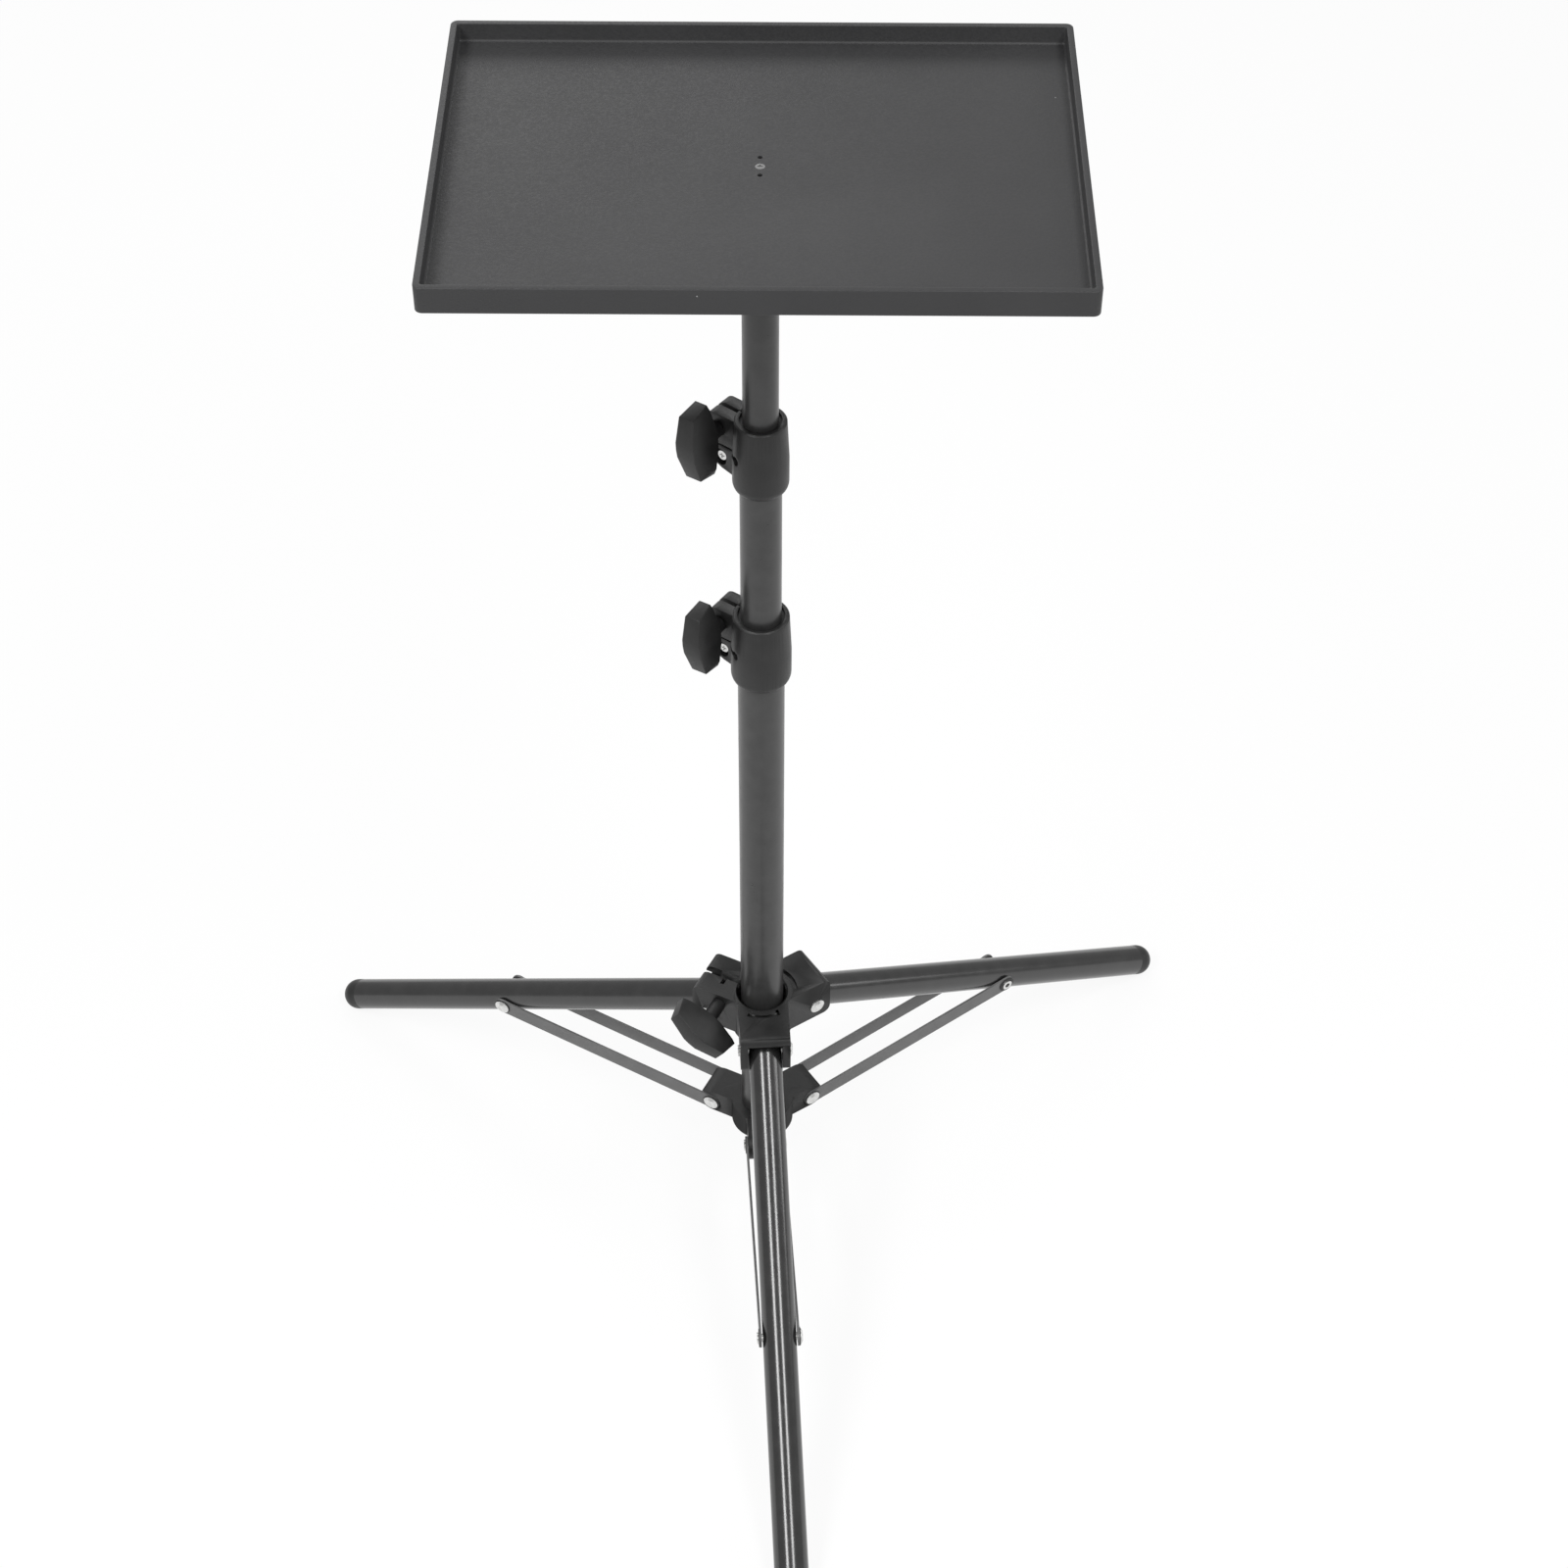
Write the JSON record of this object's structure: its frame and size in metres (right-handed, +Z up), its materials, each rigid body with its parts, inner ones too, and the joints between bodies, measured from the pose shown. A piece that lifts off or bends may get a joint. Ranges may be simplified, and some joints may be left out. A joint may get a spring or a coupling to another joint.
{
  "type": "tripod stand with shelf",
  "caption": "Folding tripod stand with a telescoping column and a rimmed rectangular tray on top for a projector, player or laptop.",
  "frame": {"origin": "on the floor, at the middle of the box round the three feet", "axes": "+Z up along the column, +Y away from the front leg, +X to the right as seen from the front"},
  "size_m": [0.6851, 0.618, 0.9728],
  "materials": {
    "tray_sheet": "textured matte",
    "painted_tube": "semi-gloss",
    "leg_tube": "gloss",
    "moulding": "fine matte",
    "bush": "matte",
    "knob": "fine matte",
    "cap": "satin",
    "brace": "semi-matte",
    "zinc": "bright"
  },
  "bodies": {
    "leg_hub": {"leg_hub": "moulding", "leg_pin_front": "zinc", "leg_pin_right": "zinc", "leg_pin_left": "zinc", "hub_knob_nut": "zinc"},
    "column": {"column_tube": "painted_tube", "column_plug": "cap", "brace_hub": "moulding", "lower_clamp": "moulding", "lower_clamp_bush": "bush", "lower_clamp_nut": "zinc", "lower_clamp_screw": "zinc"},
    "middle_tube": {"middle_tube": "painted_tube", "upper_clamp": "moulding", "upper_clamp_bush": "bush", "upper_clamp_nut": "zinc", "upper_clamp_screw": "zinc"},
    "top_tube": {"top_tube": "painted_tube", "top_tube_plug": "bush"},
    "tray": {"tray_floor": "tray_sheet", "tray_rim_front": "tray_sheet", "tray_rim_back": "tray_sheet", "tray_rim_left": "tray_sheet", "tray_rim_right": "tray_sheet", "tray_screw": "zinc", "tray_flange": "moulding"},
    "hub_knob": {"hub_knob": "knob", "hub_knob_bolt": "zinc"},
    "lower_knob": {"lower_knob": "knob", "lower_knob_bolt": "zinc"},
    "upper_knob": {"upper_knob": "knob", "upper_knob_bolt": "zinc"},
    "leg_front": {"leg_tube_front": "leg_tube", "leg_cap_front": "cap", "brace_rivet_front": "zinc"},
    "brace_front": {"brace_bar_front_a": "brace", "brace_bar_front_b": "brace", "brace_end_front": "zinc"},
    "leg_right": {"leg_tube_right": "leg_tube", "leg_cap_right": "cap", "brace_rivet_right": "zinc"},
    "brace_right": {"brace_bar_right_a": "brace", "brace_bar_right_b": "brace", "brace_end_right": "zinc"},
    "leg_left": {"leg_tube_left": "leg_tube", "leg_cap_left": "cap", "brace_rivet_left": "zinc"},
    "brace_left": {"brace_bar_left_a": "brace", "brace_bar_left_b": "brace", "brace_end_left": "zinc"}
  },
  "joints": [
    {"name": "column_slide", "type": "slide", "parent": "leg_hub", "child": "column", "axis": [0, 0, -1], "range_m": [0, 0.2871]},
    {"name": "middle_slide", "type": "slide", "parent": "column", "child": "middle_tube", "axis": [0, 0, 1], "range_m": [-0.105, 0.24]},
    {"name": "top_slide", "type": "slide", "parent": "middle_tube", "child": "top_tube", "axis": [0, 0, 1], "range_m": [-0.145, 0.155]},
    {"name": "tray_turn", "type": "hinge", "parent": "top_tube", "child": "tray", "pos_m": [0.01232, 0.08461, 0.95036], "axis": [0, 0, 1], "continuous": true},
    {"name": "leg_front_fold", "type": "hinge", "parent": "leg_hub", "child": "leg_front", "pos_m": [0.01477, 0.04668, 0.19536], "axis": [0.9979, 0.0645, 0], "range_deg": [0, 57.55]},
    {"name": "brace_front_fold", "type": "hinge", "parent": "leg_front", "child": "brace_front", "pos_m": [0.02703, -0.14275, 0.09442], "axis": [0.9979, 0.0645, 0], "range_deg": [-137.68, 0]},
    {"name": "leg_right_fold", "type": "hinge", "parent": "leg_hub", "child": "leg_right", "pos_m": [0.04394, 0.10569, 0.19536], "axis": [-0.5548, 0.832, 0], "range_deg": [0, 57.55]},
    {"name": "brace_right_fold", "type": "hinge", "parent": "leg_right", "child": "brace_right", "pos_m": [0.20187, 0.21102, 0.09442], "axis": [-0.5548, 0.832, 0], "range_deg": [-137.68, 0]},
    {"name": "leg_left_fold", "type": "hinge", "parent": "leg_hub", "child": "leg_left", "pos_m": [-0.02174, 0.10144, 0.19536], "axis": [-0.4431, -0.8965, 0], "range_deg": [0, 57.55]},
    {"name": "brace_left_fold", "type": "hinge", "parent": "leg_left", "child": "brace_left", "pos_m": [-0.19193, 0.18555, 0.09442], "axis": [-0.4431, -0.8965, 0], "range_deg": [-137.68, 0]},
    {"name": "hub_knob_turn", "type": "hinge", "parent": "leg_hub", "child": "hub_knob", "pos_m": [-0.02032, 0.07949, 0.20996], "axis": [-0.4431, -0.8965, 0], "continuous": true},
    {"name": "lower_knob_turn", "type": "hinge", "parent": "column", "child": "lower_knob", "pos_m": [-0.0157, 0.09166, 0.59186], "axis": [-0.5736, -0.8192, 0], "continuous": true},
    {"name": "upper_knob_turn", "type": "hinge", "parent": "middle_tube", "child": "upper_knob", "pos_m": [-0.01529, 0.09311, 0.75836], "axis": [-0.6157, -0.788, 0], "continuous": true}
  ],
  "couplings": [
    {"joint": "leg_front_fold", "follows": "column_slide", "rad_per_m": 3.4955},
    {"joint": "brace_front_fold", "follows": "column_slide", "rad_per_m": -8.3639},
    {"joint": "leg_right_fold", "follows": "column_slide", "rad_per_m": 3.4955},
    {"joint": "brace_right_fold", "follows": "column_slide", "rad_per_m": -8.3639},
    {"joint": "leg_left_fold", "follows": "column_slide", "rad_per_m": 3.4955},
    {"joint": "brace_left_fold", "follows": "column_slide", "rad_per_m": -8.3639}
  ]
}
